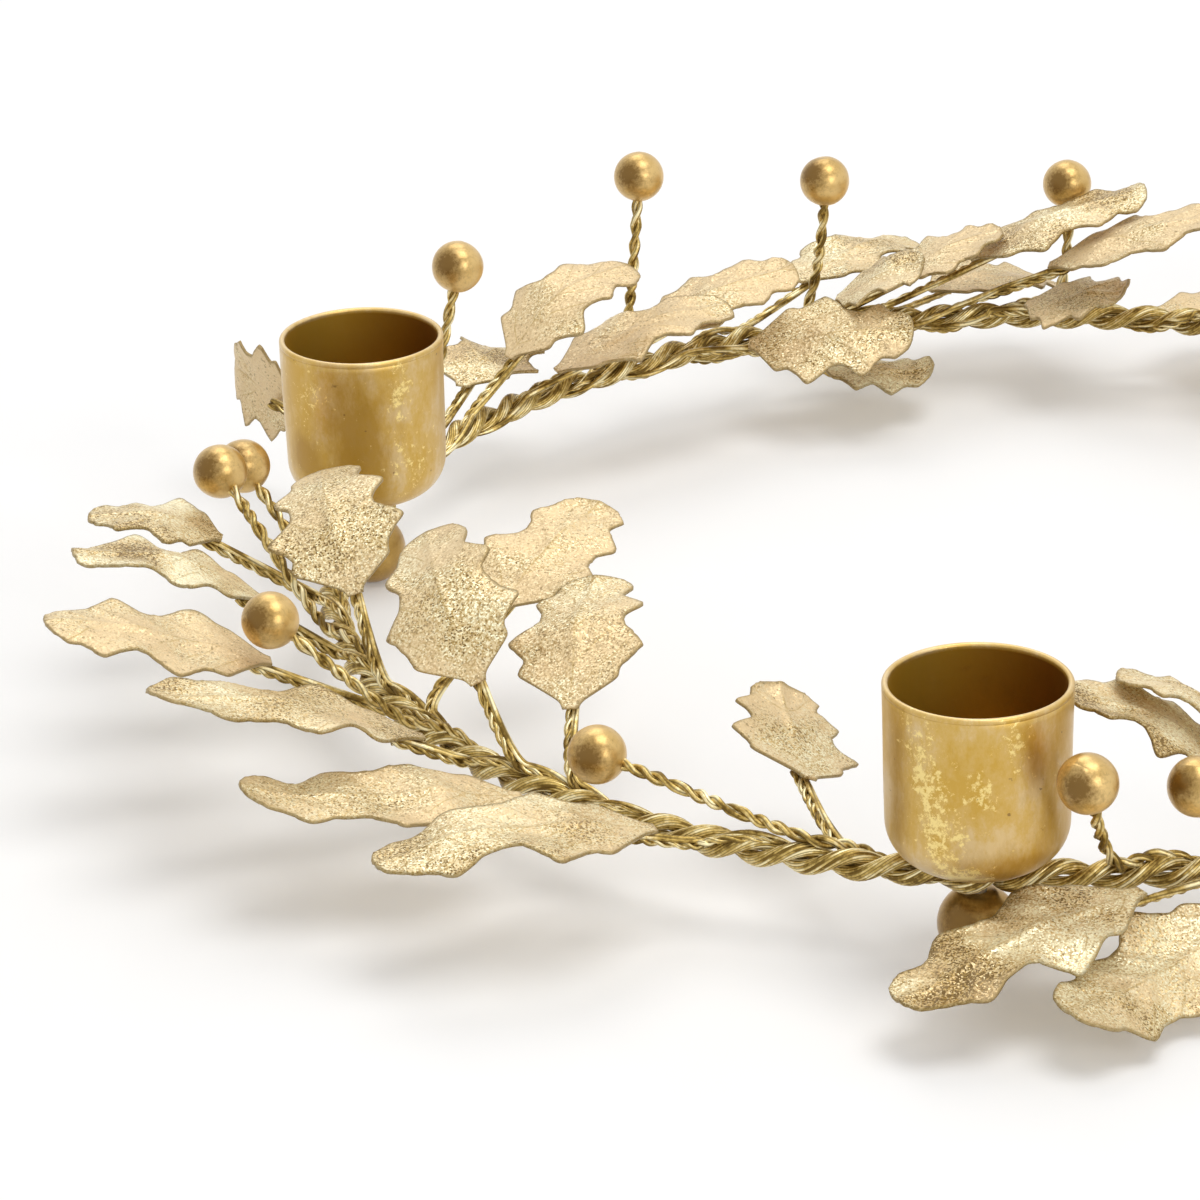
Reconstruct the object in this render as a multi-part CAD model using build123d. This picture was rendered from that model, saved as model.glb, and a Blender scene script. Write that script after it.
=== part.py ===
"""Gilt candle ring: a two-strand wire ring with candle cups, ball feet and sprays of leaves and berries.

Millimetres, +Z up, origin on the table under the middle of the ring.
"""
import os
from math import atan, atan2, copysign, cos, degrees, exp, pi, radians, sin, sqrt
from typing import NamedTuple

from build123d import *

# Ring: two strands twisted round each other
RING_RADIUS = 103.5
RING_TURNS = 48
STRAND_RADIUS = 1.1
STRAND_GAP = 0.1
BUTT_GAP = 0.4
QUARTERS = 4

# Candle cups: nominal places round the ring, then the pressed cup itself
CUP_ANGLES = (-94, 168.5, 38)
CUP_BORE_RADIUS = 11.5
CUP_WALL = 0.85
CUP_HEIGHT = 25.3
CUP_TAPER = 0.3
CUP_ROUND = 6.0

# Fixing under each cup: a slotted screw through the eye in the twist, into the ball foot
SCREW_RADIUS = 1.25
SCREW_HEAD_RADIUS = 2.5
SCREW_HEAD_HEIGHT = 1.6
SCREW_SLOT = 0.6
SCREW_CLEARANCE = 0.15
SCREW_DEPTH = 4.0
FOOT_RADIUS = 5.3
FOOT_DROP = 7.1

# Stems: two fine wires twisted together
WIRE_RADIUS = 0.5
WIRE_GAP = 0.08
WIRE_PITCH = 4.4
SEAT_GAP = 0.1

# Berries and leaves
BERRY_RADIUS = 4.0
BERRY_BORE_PAST_CENTRE = 0.3
LEAF_SHEET = 0.5
LEAF_WIDTH = 20.0
LEAF_LAP = 4.0
LEAF_SEAT_GAP = 0.15
LEAF_CAMBER = 1.5
LEAF_RIPPLE = 1.5
TONGUE_HALF_WIDTH = 1.1
# Points along each leaf margin: share of the length from the base, share of the half width
MARGIN_ONE = ((0.04, 0.15), (0.17, 0.62), (0.23, 0.56), (0.37, 1.0), (0.50, 0.62), (0.58, 0.56),
              (0.69, 0.80), (0.79, 0.46), (0.90, 0.54), (0.98, 0.36))
MARGIN_TWO = ((0.05, 0.17), (0.22, 0.74), (0.30, 0.68), (0.44, 1.0), (0.57, 0.52), (0.68, 0.56),
              (0.77, 0.74), (0.87, 0.44), (1.00, 0.30))


class Leaf(NamedTuple):
    """Angles in degrees: place on the ring, heading outward from the clockwise run, rise and roll."""

    root: float
    heading: float
    rise: float
    reach: float
    length: float
    curl: float
    wave: float
    roll: float = 0


class Berry(NamedTuple):
    """As for a leaf; the reach is the length of the stem."""

    root: float
    heading: float
    rise: float
    reach: float


# Sprays in clockwise order, each as its leaves and its berries
SPRAYS = (
    ((Leaf(281.5, 25, -2, 12, 38, -3, 2), Leaf(290, 28, -15, 12, 35, 10, -2, 20),
      Leaf(290, -24, 33, 19, 23, -2, 2, -6), Leaf(296.5, -33, 34, 18, 24, -3, 2, -14)),
     (Berry(273.5, 71, 56, 20), Berry(282, 50, 65, 13))),
    ((Leaf(254, -56, 10, 18, 19, 5, 2, -26), Leaf(244, 50, 13, 8, 38, -6, 3, 2)),
     (Berry(253.5, -4, 11, 31),)),
    ((Leaf(231, -52, 35, 14, 26, -8, 2, 9), Leaf(227, -5, 50, 15, 25, -17, 2, 40),
      Leaf(233.5, 51, 5, 8, 38, 3, 3)),
     ()),
    ((Leaf(214.5, -64, 23, 23, 26, -2, 2, -4), Leaf(222, 66, 22, 9, 39, -2, 3, -5),
      Leaf(207, 1, 46, 16, 25, -18, 2, 23), Leaf(210, 76, 24, 21, 32, -4, -2, 4)),
     (Berry(214, 52, 37, 23),)),
    ((Leaf(198, 79, 32, 16, 28, -6, 2, -10), Leaf(189, 84, 27, 20, 19, -5, 2, -4)),
     (Berry(197.5, 23, 26, 32), Berry(186, 44, 36, 20))),
    ((Leaf(159, 86, 10, 25, 15, 7, 2, -75), Leaf(152.5, 11, 14, 10, 21, -7, 2, -1),
      Leaf(148, -19, 43, 13, 24, -9, 2, -3)),
     (Berry(157.5, -16, 74, 27),)),
    ((Leaf(142, -26, 22, 8, 30, -4, 2, 2), Leaf(130.5, -19, 27, 8, 26, -3, 2, -6)),
     (Berry(128, 36, 75, 28),)),
    ((Leaf(123, -37, 6, 13, 27, 2, 2, -25), Leaf(117, -26, -15, 13, 19, 6, 2),
      Leaf(117.5, 21, 11, 17, 25, -3, 2, 5), Leaf(111, -31, 30, 10, 16, 0, 2, -4)),
     (Berry(110, -101, 80, 25),)),
    ((Leaf(106, -2, 24, 12, 19, 0, 2, 2), Leaf(103, -2, 23, 18, 31, -1, 2, 1),
      Leaf(101, 19, 8, 8, 24, -7, 2, 2)),
     ()),
    ((Leaf(94.5, -17, 25, 19, 31, -1, 2, -5), Leaf(93, -23, 11, 8, 18, 4, 2, -7),
      Leaf(84.5, 15, -6, 15, 27, 6, 2, -6)),
     (Berry(89, 101, 54, 20),)),
)
# The far right of the ring repeats sprays: which one, and how many half turns of the twist it is moved on
REPEATS = ((6, -18), (4, -35), (3, -51), (3, -55), (7, -35), (1, -75), (5, -55))

# Worked out from the sizes above
LAY_RADIUS = STRAND_RADIUS + STRAND_GAP / 2
CROWN_RADIUS = LAY_RADIUS + STRAND_RADIUS
RING_PITCH = 2 * pi * RING_RADIUS / RING_TURNS
HALF_TURN = 180 / RING_TURNS
EYE_RADIUS = 1.2 * (SCREW_RADIUS + STRAND_RADIUS + 2 * SCREW_CLEARANCE)
EYE_LENGTH = 0.3 * RING_PITCH
CUP_PLACES = tuple(HALF_TURN * round(angle / HALF_TURN) for angle in CUP_ANGLES)
RING_HEIGHT = FOOT_RADIUS + FOOT_DROP
SEAT_HEIGHT = CROWN_RADIUS + SEAT_GAP
CUP_BASE = RING_HEIGHT + SEAT_HEIGHT
WIRE_LAY = WIRE_RADIUS + WIRE_GAP / 2
STEM_RADIUS = WIRE_LAY + WIRE_RADIUS
END_TILT = 0.6 * WIRE_RADIUS * sin(atan(2 * pi * WIRE_LAY / WIRE_PITCH))
STANDING = (Align.CENTER, Align.CENTER, Align.MIN)
HANGING = (Align.CENTER, Align.CENTER, Align.MAX)


def lay_radius(angle):
    """Distance of a strand beside the rope axis; the twist opens into a flat eye at each cup."""
    bulge = 0
    for place in CUP_PLACES:
        away = (angle - place + 180) % 360 - 180
        bulge += exp(-(RING_RADIUS * radians(away) / EYE_LENGTH) ** 2)
    return LAY_RADIUS + (EYE_RADIUS - LAY_RADIUS) * bulge


def ring_point(angle):
    """Point on the rope axis."""
    return Vector(RING_RADIUS * cos(radians(angle)), RING_RADIUS * sin(radians(angle)), RING_HEIGHT)


def strand_point(angle, phase):
    """Point on the centre line of a strand."""
    turn = RING_TURNS * radians(angle) + phase
    out = RING_RADIUS + lay_radius(angle) * cos(turn)
    up = RING_HEIGHT + LAY_RADIUS * sin(turn)
    return Vector(out * cos(radians(angle)), out * sin(radians(angle)), up)


def strand_tangent(angle, phase, step=0.001):
    """Direction of the centre line of a strand."""
    return (strand_point(angle + step, phase) - strand_point(angle - step, phase)).normalized()


def biarc(start, start_dir, end, end_dir):
    """Two arcs that leave and arrive along the given directions."""
    chord = end - start
    both = start_dir + end_dir
    spread = 2 * (1 - start_dir.dot(end_dir))
    along = chord.dot(both)
    reach = (sqrt(along ** 2 + spread * chord.dot(chord)) - along) / spread
    middle = (start + start_dir * reach + end - end_dir * reach) * 0.5
    first = Edge.make_tangent_arc(start, start_dir, middle)
    return first, Edge.make_tangent_arc(middle, first % 1, end)


def ring_strand(phase):
    """One strand right round the ring, its ends butted beside the last cup's screw."""
    trim = degrees(BUTT_GAP / 2 / RING_RADIUS)
    first = CUP_PLACES[-1] + trim
    steps = QUARTERS * RING_TURNS
    angles = [first + (360 - 2 * trim) * step / steps for step in range(steps + 1)]
    edges = []
    for angle, later in zip(angles, angles[1:]):
        edges += biarc(strand_point(angle, phase), strand_tangent(angle, phase),
                       strand_point(later, phase), strand_tangent(later, phase))
    path = Wire(edges)
    section = Plane(origin=path @ 0, z_dir=path % 0) * Circle(STRAND_RADIUS)
    return sweep(section, path=path)


def candle_cup():
    """Pressed cup with a rolled lip, a tapered outside and a straight bore."""
    top = CUP_BORE_RADIUS + CUP_WALL
    base = top - CUP_TAPER
    hole = SCREW_RADIUS + SCREW_CLEARANCE
    shoulder = CUP_HEIGHT - CUP_WALL / 2
    inside = CUP_ROUND - CUP_WALL
    bend = sqrt(0.5)
    profile = [
        Line((hole, 0), (base - CUP_ROUND, 0)),
        ThreePointArc((base - CUP_ROUND, 0),
                      (base - CUP_ROUND * (1 - bend), CUP_ROUND * (1 - bend)), (base, CUP_ROUND)),
        Line((base, CUP_ROUND), (top, shoulder)),
        ThreePointArc((top, shoulder), (top - CUP_WALL / 2, CUP_HEIGHT), (CUP_BORE_RADIUS, shoulder)),
        Line((CUP_BORE_RADIUS, shoulder), (CUP_BORE_RADIUS, CUP_ROUND)),
        ThreePointArc((CUP_BORE_RADIUS, CUP_ROUND),
                      (CUP_BORE_RADIUS - inside * (1 - bend), CUP_ROUND - inside * bend),
                      (CUP_BORE_RADIUS - inside, CUP_WALL)),
        Line((CUP_BORE_RADIUS - inside, CUP_WALL), (hole, CUP_WALL)),
        Line((hole, CUP_WALL), (hole, 0)),
    ]
    return revolve(Plane.XZ * make_face(profile), Axis.Z)


def cup_screw():
    """Slotted screw from the cup floor down into the foot; its head rests on Z = 0."""
    shank_end = -(CUP_WALL + 2 * SEAT_HEIGHT + SCREW_DEPTH)
    shank = Pos(0, 0, shank_end) * Cylinder(SCREW_RADIUS, -shank_end, align=STANDING)
    head = Cylinder(SCREW_HEAD_RADIUS, SCREW_HEAD_HEIGHT, align=STANDING)
    head = fillet(head.edges().group_by(Axis.Z)[-1], SCREW_HEAD_HEIGHT / 2)
    slot = Pos(0, 0, SCREW_HEAD_HEIGHT) * Box(3 * SCREW_HEAD_RADIUS, SCREW_SLOT, SCREW_HEAD_HEIGHT)
    return shank + (head - slot)


def ball_foot():
    """Ball with a flat on top that meets the strands, bored for the screw; it stands on Z = 0."""
    flat = RING_HEIGHT - SEAT_HEIGHT
    ball = Pos(0, 0, FOOT_RADIUS) * Sphere(FOOT_RADIUS)
    cap = Pos(0, 0, flat) * Cylinder(FOOT_RADIUS, FOOT_RADIUS, align=STANDING)
    depth = SCREW_DEPTH + SCREW_CLEARANCE
    bore = Pos(0, 0, flat - depth) * Cylinder(SCREW_RADIUS + SCREW_CLEARANCE, 2 * depth, align=STANDING)
    return ball - cap - bore


def berry():
    """Ball centred on the origin with a blind bore from below for its stem."""
    hole = Cylinder(STEM_RADIUS + SEAT_GAP, 2 * BERRY_RADIUS, align=HANGING)
    return Sphere(BERRY_RADIUS) - Pos(0, 0, BERRY_BORE_PAST_CENTRE) * hole


def leaf_outline(length):
    """Flat lobed blank, base at the origin and tip along X."""
    half = LEAF_WIDTH / 2
    one = [(length * along, -half * out) for along, out in MARGIN_ONE]
    two = [(length * along, half * out) for along, out in MARGIN_TWO]
    points = [(0, -TONGUE_HALF_WIDTH)] + one + two[::-1] + [(0, TONGUE_HALF_WIDTH)]
    return make_face(Polyline(*points, close=True))


def leaf_sheet(leaf):
    """Bent and rippled sheet cut to the lobed outline, lying on Z = 0 at its base."""
    half = LEAF_WIDTH / 2 + 1
    heights = (0, 0, 0, 0.1 * leaf.curl + leaf.wave, 0.4 * leaf.curl - leaf.wave, leaf.curl)
    last = len(heights) - 1
    rows = []
    for row, height in enumerate(heights):
        along = -1 + (leaf.length + 2) * row / last
        droop = LEAF_CAMBER * row / last if row > 1 else 0
        ripple = copysign(LEAF_RIPPLE, (-1) ** row) if row > 1 else 0
        rows.append([Vector(along, -half, height - droop + ripple), Vector(along, 0, height),
                     Vector(along, half, height - droop - ripple)])
    sheet = Solid.thicken(Face.make_bezier_surface(rows), LEAF_SHEET)
    return sheet & extrude(leaf_outline(leaf.length), 2 * leaf.length, both=True)


def stem_wires(length):
    """Twisted pair along +Z; one wire starts on the +X side."""
    path = Helix(pitch=WIRE_PITCH, height=length, radius=WIRE_LAY)
    wire = sweep(Plane(origin=path @ 0, z_dir=path % 0) * Circle(WIRE_RADIUS), path=path, is_frenet=True)
    return [wire, wire.rotate(Axis.Z, 180)]


def seat(pick):
    """Start, direction and ring side of a stem whose end rests on the crown of a strand."""
    heading = radians(pick.heading)
    rise = radians(pick.rise)
    facing = degrees(atan2(sin(rise), cos(rise) * sin(heading)))
    angle = pick.root + ((facing - RING_TURNS * pick.root + 90) % 180 - 90) / RING_TURNS
    outward = Vector(cos(radians(angle)), sin(radians(angle)), 0)
    clockwise = Vector(sin(radians(angle)), -cos(radians(angle)), 0)
    direction = (clockwise * cos(heading) + outward * sin(heading)) * cos(rise) + Vector(0, 0, sin(rise))
    along = direction.dot(clockwise)
    away = (direction - clockwise * along).normalized()
    toward = (clockwise * direction.dot(away) - away * along) * copysign(1, along)
    crown = ring_point(angle) + away * (CROWN_RADIUS + SEAT_GAP)
    start = crown - toward * STEM_RADIUS + direction * END_TILT
    return start, direction, toward


def spray(leaves, berries):
    """Leaves, stems and berries of one spray, in place."""
    sheets = []
    stems = []
    balls = []
    for pick in leaves + berries:
        start, direction, toward = seat(pick)
        frame = Plane(origin=start, x_dir=toward, z_dir=direction)
        stems += [wire.moved(frame.location) for wire in stem_wires(pick.reach)]
        if isinstance(pick, Berry):
            balls.append(berry().moved(Plane(start + direction * pick.reach, toward, direction).location))
            continue
        level = (Vector(0, 0, 1) - direction * direction.Z).normalized()
        level = level * cos(radians(pick.roll)) + level.cross(direction) * sin(radians(pick.roll))
        base = start + direction * (pick.reach - LEAF_LAP) + level * (STEM_RADIUS + LEAF_SEAT_GAP)
        sheets.append(leaf_sheet(pick).moved(Plane(base, direction, level).location))
    return sheets, stems, balls


def save(node, *shapes):
    """Write one node."""
    export_step(Compound(list(shapes)), f"parts/{node}.step")


os.makedirs("parts", exist_ok=True)
save("ring_strand_1", ring_strand(0))
save("ring_strand_2", ring_strand(pi))
for number, place in enumerate(CUP_PLACES, 1):
    ground = Vector(ring_point(place).X, ring_point(place).Y, 0)
    upright = Rot(0, 0, place)
    save(f"candle_cup_{number}", Pos(ground + Vector(0, 0, CUP_BASE)) * upright * candle_cup())
    save(f"cup_screw_{number}", Pos(ground + Vector(0, 0, CUP_BASE + CUP_WALL)) * upright * cup_screw())
    save(f"ball_foot_{number}", Pos(ground) * upright * ball_foot())

placed = list(SPRAYS)
for number, half_turns in REPEATS:
    placed.append([tuple(pick._replace(root=pick.root + HALF_TURN * half_turns) for pick in picks)
                   for picks in SPRAYS[number]])
for number, (leaves, berries) in enumerate(placed, 1):
    for name, shapes in zip(("leaves", "stems", "berries"), spray(leaves, berries)):
        if shapes:
            save(f"spray_{number:02d}_{name}", *shapes)
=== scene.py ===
"""Looks of the gilt candle ring: twisted wire, glittered leaves, satin berries and worn gold-leaf cups, with
painted shade, reflections, sheen and highlights in their colours.
"""
from math import atan2, comb, copysign, cos, degrees, pi, radians, sin, sqrt
from typing import NamedTuple

import bpy
import numpy as np
from mathutils import Matrix, Vector


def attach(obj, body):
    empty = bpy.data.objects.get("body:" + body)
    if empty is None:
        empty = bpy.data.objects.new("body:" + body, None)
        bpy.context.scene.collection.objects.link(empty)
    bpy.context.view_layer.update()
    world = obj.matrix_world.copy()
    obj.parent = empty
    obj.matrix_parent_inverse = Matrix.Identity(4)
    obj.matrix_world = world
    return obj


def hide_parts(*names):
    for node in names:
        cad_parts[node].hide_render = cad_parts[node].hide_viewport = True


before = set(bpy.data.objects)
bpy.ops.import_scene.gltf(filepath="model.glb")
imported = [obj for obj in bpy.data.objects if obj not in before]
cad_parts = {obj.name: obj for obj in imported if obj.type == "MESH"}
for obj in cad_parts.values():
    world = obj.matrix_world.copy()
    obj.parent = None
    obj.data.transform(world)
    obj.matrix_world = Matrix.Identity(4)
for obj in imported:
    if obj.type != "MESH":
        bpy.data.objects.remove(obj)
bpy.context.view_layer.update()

MM = 0.001

# Ring, cups, feet and screws, in millimetres as in the solid model
RING_RADIUS = 103.5
RING_TURNS = 48
STRAND_RADIUS = 1.1
LAY_RADIUS = 1.15
CUP_ANGLES = (-93.75, 168.75, 37.5)
CUP_BORE_RADIUS = 11.5
CUP_WALL = 0.85
CUP_HEIGHT = 25.3
CUP_TAPER = 0.3
CUP_ROUND = 6.0
CUP_BEAD = 0.4
BEAD_GROOVE = 0.06
BEAD_GROOVE_WIDTH = 0.14
CUP_DENT = 0.003
CUP_DENT_SIZE = 17
CUP_DENT_REACH = 12
CUP_FRONT = -88
CUP_LOOKS = (0, 1, 0)
# Where each look has thick gilding with a painted sheen, and worn brown with painted dark reflections:
# degrees from the front, share of height, lean, width, tallness and strength
GILDED_AND_PAINTED_SHEEN_SPOTS = (((-30, 0.5, -30, 16, 0.6, 1.0), (2, 0.58, -20, 10, 0.1, 0.9), (22, 0.86, 0, 11, 0.14, 0.7),
                 (-8, 0.08, 0, 28, 0.07, 0.8), (150, 0.5, 40, 50, 0.4, 0.8)),
                ((32, 0.78, 10, 9, 0.2, 0.95), (38, 0.3, 0, 20, 0.2, 0.6), (-38, 0.75, 40, 14, 0.25, 0.5),
                 (-140, 0.4, -30, 50, 0.4, 0.8)))
WORN_AND_PAINTED_REFLECTION_SPOTS = (((-58, 0.5, 0, 9, 0.8, 0.75), (34, 0.78, 0, 8, 0.25, 0.75), (45, 0.3, 10, 8, 0.3, 0.6),
               (18, 0.14, 0, 22, 0.13, 0.8), (170, 0.3, 0, 30, 0.4, 0.6)),
              ((1, 0.45, -10, 23, 0.6, 1.2), (-43, 0.36, 0, 13, 0.15, 1.35), (-20, 0.24, 0, 10, 0.1, 0.9),
               (-150, 0.6, 0, 40, 0.4, 0.6)))
SCREW_HOLE_RADIUS = 1.4
EYE_RADIUS = 3.18
FOOT_RADIUS = 5.3
FOOT_DROP = 7.1
SEAT_GAP = 0.1

# Stems: a berry stands on a twisted pair, a leaf on a straight wire with a finer pair twisted beside it
STEM_RADIUS = 1.04
END_TILT = 0.18
PAIR_RADIUS = 0.52
PAIR_LAY = 0.44
PAIR_PITCH = 6.0
STRAIGHT_RADIUS = 0.56
STRAIGHT_OFFSET = 0.42
THREAD_RADIUS = 0.36
THREAD_LAY = 0.3
THREAD_PITCH = 4.3
THREAD_OFFSET = 0.36
TAIL_ANGLE = 8.0
TAIL_TURN = 2.6
TAIL_STAND = 0.1
TAIL_SINK = 1.5
ROOT_PULL = 0.45
END_PULL = 1.1
TAPER_RUN = 9
TAPER_LEAST = 0.35
TWIST_DRIFT = 0.3
TWIST_DRIFT_RUN = 11
UNEVEN_THICKNESS = 0.04
UNEVEN_RUN = 2.2
STRAIGHT_SIDE = (1, 0, 0.35)

# Fine fibres in each wire; their lay is in radians, round the ring for a strand and per millimetre in a stem
FIBRE_BULGE = 1.35
FIBRE_TONE = 0.32
FIBRE_TONE_RUN = 8
STRAND_LAY = 12
PAIR_FIBRE_LAY = 0.25
STRAIGHT_FIBRE_LAY = 0.12
# How far a strand strays from its twist, in how many waves round the ring, and how its seed shifts them
LOOSENESS = ((0.05, 7, 1), (0.04, 31, 2))

# Berries and feet; the painted dark reflection lies on the side that faces the first direction below
BERRY_RADIUS = 4.0
BALL_UNEVENNESS = 0.006
BALL_OVERSIZE = 1.004
PAINTED_REFLECTION_SIDE = (-0.46, -0.78, 0.36)
PAINTED_REFLECTION_SPREAD = 0.16
PAINTED_REFLECTION_WIDTH = 0.68

# Leaves; ragged edges, crumples and curls are given as height and size
LEAF_SHEET = 0.45
LEAF_SEAT_GAP = 0.15
LEAF_WIDTH = 20.0
LEAF_LAP = 4.0
LEAF_CAMBER = 1.5
LEAF_RIPPLE = 1.5
LEAF_TIP_ROUND = 0.03
LEAF_FREE_RUN = 6
MIDRIB_HEIGHT = 0.55
MIDRIB_WIDTH = 0.7
VEIN_HEIGHT = 0.16
VEIN_WIDTH = 0.5
VEIN_SPACING = 5.5
VEIN_SLANT = 1.1
CRUMPLES = ((0.32, 15), (0.05, 5))
EDGE_CURL = (0.6, 17)
EDGE_BAND = 0.35
EDGE_RAGGED = ((0.025, 0.22), (0.004, 0.06))
MARGIN_ONE = ((0.0, 0.11), (0.04, 0.15), (0.17, 0.65), (0.24, 0.64), (0.37, 1.0), (0.51, 0.66), (0.58, 0.65),
              (0.69, 0.84), (0.80, 0.50), (0.91, 0.59), (0.98, 0.44), (1.0, 0.37))
MARGIN_TWO = ((0.0, 0.11), (0.05, 0.17), (0.22, 0.76), (0.30, 0.72), (0.44, 1.0), (0.57, 0.60), (0.68, 0.61),
              (0.77, 0.77), (0.86, 0.49), (0.95, 0.46), (1.0, 0.32))

RING_HEIGHT = FOOT_RADIUS + FOOT_DROP
CROWN_RADIUS = LAY_RADIUS + STRAND_RADIUS
SEAT_HEIGHT = CROWN_RADIUS + SEAT_GAP
CUP_BASE = RING_HEIGHT + SEAT_HEIGHT
RING_PITCH = 2 * pi * RING_RADIUS / RING_TURNS
HALF_TURN = 180 / RING_TURNS
EYE_LENGTH = 0.3 * RING_PITCH


class Leaf(NamedTuple):
    """Angles in degrees: place on the ring, heading outward from the clockwise run, rise and roll."""

    root: float
    heading: float
    rise: float
    reach: float
    length: float
    curl: float
    wave: float
    roll: float = 0


class Berry(NamedTuple):
    """As for a leaf; the reach is the length of the stem."""

    root: float
    heading: float
    rise: float
    reach: float


SPRAYS = (
    ((Leaf(281.5, 25, -2, 12, 38, -3, 2), Leaf(290, 28, -15, 12, 35, 10, -2, 20),
      Leaf(290, -24, 33, 19, 23, -2, 2, -6), Leaf(296.5, -33, 34, 18, 24, -3, 2, -14)),
     (Berry(273.5, 71, 56, 20), Berry(282, 50, 65, 13))),
    ((Leaf(254, -56, 10, 18, 19, 5, 2, -26), Leaf(244, 50, 13, 8, 38, -6, 3, 2)),
     (Berry(253.5, -4, 11, 31),)),
    ((Leaf(231, -52, 35, 14, 26, -8, 2, 9), Leaf(227, -5, 50, 15, 25, -17, 2, 40),
      Leaf(233.5, 51, 5, 8, 38, 3, 3)),
     ()),
    ((Leaf(214.5, -64, 23, 23, 26, -2, 2, -4), Leaf(222, 66, 22, 9, 39, -2, 3, -5),
      Leaf(207, 1, 46, 16, 25, -18, 2, 23), Leaf(210, 76, 24, 21, 32, -4, -2, 4)),
     (Berry(214, 52, 37, 23),)),
    ((Leaf(198, 79, 32, 16, 28, -6, 2, -10), Leaf(189, 84, 27, 20, 19, -5, 2, -4)),
     (Berry(197.5, 23, 26, 32), Berry(186, 44, 36, 20))),
    ((Leaf(159, 86, 10, 25, 15, 7, 2, -75), Leaf(152.5, 11, 14, 10, 21, -7, 2, -1),
      Leaf(148, -19, 43, 13, 24, -9, 2, -3)),
     (Berry(157.5, -16, 74, 27),)),
    ((Leaf(142, -26, 22, 8, 30, -4, 2, 2), Leaf(130.5, -19, 27, 8, 26, -3, 2, -6)),
     (Berry(128, 36, 75, 28),)),
    ((Leaf(123, -37, 6, 13, 27, 2, 2, -25), Leaf(117, -26, -15, 13, 19, 6, 2),
      Leaf(117.5, 21, 11, 17, 25, -3, 2, 5), Leaf(111, -31, 30, 10, 16, 0, 2, -4)),
     (Berry(110, -101, 80, 25),)),
    ((Leaf(106, -2, 24, 12, 19, 0, 2, 2), Leaf(103, -2, 23, 18, 31, -1, 2, 1),
      Leaf(101, 19, 8, 8, 24, -7, 2, 2)),
     ()),
    ((Leaf(94.5, -17, 25, 19, 31, -1, 2, -5), Leaf(93, -23, 11, 8, 18, 4, 2, -7),
      Leaf(84.5, 15, -6, 15, 27, 6, 2, -6)),
     (Berry(89, 101, 54, 20),)),
)
# The far right of the ring repeats sprays: which one, and how many half turns of the twist it is moved on
REPEATS = ((6, -18), (4, -35), (3, -51), (3, -55), (7, -35), (1, -75), (5, -55))

# Fineness of the meshes
STRAND_STEPS_PER_TURN = 22
STRAND_FIBRES = 17
WIRE_FIBRES = 4
SIDES_PER_FIBRE = 4
WIRE_STEP = 0.35
TAIL_POINTS = 44
FREE_POINTS = 60
MARGIN_POINTS = 401
MARGIN_BLUR = 33
LEAF_ROWS = 90
LEAF_COLUMNS = 13
CUP_SIDES = 120
BALL_RINGS = 30
BALL_SIDES = 52

# Seeds of the random draws; sprays, and the leaves and berries in them, count on in steps
STRAND_SEED = 10
CUP_SEED = 40
FOOT_SEED = 60
SPRAY_SEED = 1000
PICK_SEED = 50
TONE_SEED = 854

# Colours; a tone is a place on a scale from nought to one and the colour there
# The pale flake colour is a painted glint
PALE_PAINTED_GLINT = (0.95, 0.89, 0.62)
CREAM = (0.76, 0.62, 0.35)
PEACH = (0.77, 0.58, 0.325)
TAN = (0.62, 0.445, 0.21)
GOLD = (0.50, 0.34, 0.11)
BROWN = (0.20, 0.12, 0.03)
GLITTER_AND_PAINTED_GLINT_TONES = ((0.02, BROWN), (0.13, GOLD), (0.3, TAN), (0.5, CREAM), (0.72, CREAM), (0.9, PALE_PAINTED_GLINT))
LEAF_EDGE = (0.27, 0.18, 0.05)
# Fibre tones that vary at random; the palest is a painted highlight
WIRE_TONES_WITH_PAINTED_HIGHLIGHT = ((0.0, (0.17, 0.10, 0.015)), (0.34, (0.48, 0.33, 0.085)), (0.62, (0.68, 0.51, 0.19)),
              (0.95, (0.94, 0.83, 0.50)))
# Painted shade in the grooves between the fibres
WIRE_GROOVE_SHADE = (0.13, 0.08, 0.015)
BERRY_TONES = ((0.32, (0.58, 0.37, 0.105)), (0.60, (0.71, 0.49, 0.19)))
FOOT_TONES = ((0.32, (0.36, 0.21, 0.04)), (0.60, (0.50, 0.31, 0.08)))
# Colour of the painted dark reflection on berries and feet
PAINTED_DARK_REFLECTION = (0.17, 0.085, 0.01)
CUP_TONES = ((0.38, (0.58, 0.355, 0.05)), (0.49, (0.63, 0.42, 0.12)), (0.58, (0.68, 0.50, 0.24)))
# Brown of worn gilding, also used for painted dark reflections on the cups
CUP_WORN_AND_DARK_REFLECTION = (0.40, 0.22, 0.017)
CUP_FLAKE = (0.90, 0.71, 0.27)
CUP_SPECK = (0.20, 0.10, 0.02)
# Colour of the painted highlight along the cup lip
CUP_LIP_HIGHLIGHT = (0.74, 0.58, 0.32)
# Painted shade inside the cups, lighter on one side and darker on the other
CUP_INSIDE_PAINTED_SHADE_TONES = ((0.1, (0.61, 0.37, 0.03)), (0.9, (0.24, 0.085, 0.003)))
ZINC_TONES = ((0.3, (0.24, 0.20, 0.14)), (0.7, (0.40, 0.35, 0.27)))
FLOOR_TONES = ((0.3, (0.80, 0.795, 0.79)), (0.7, (0.82, 0.815, 0.81)))
WHITE = (1, 1, 1, 1)

# Flakes, specks and clumps of glitter and the grain of the wire, per metre, and how far a flake is tipped
FLAKES = 4600
SPECKS = 3400
CLUMPS = 85
CLUMP_STRENGTH = 1.15
FLAKE_TILT = 0.5
WIRE_GRAIN = 1500
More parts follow.
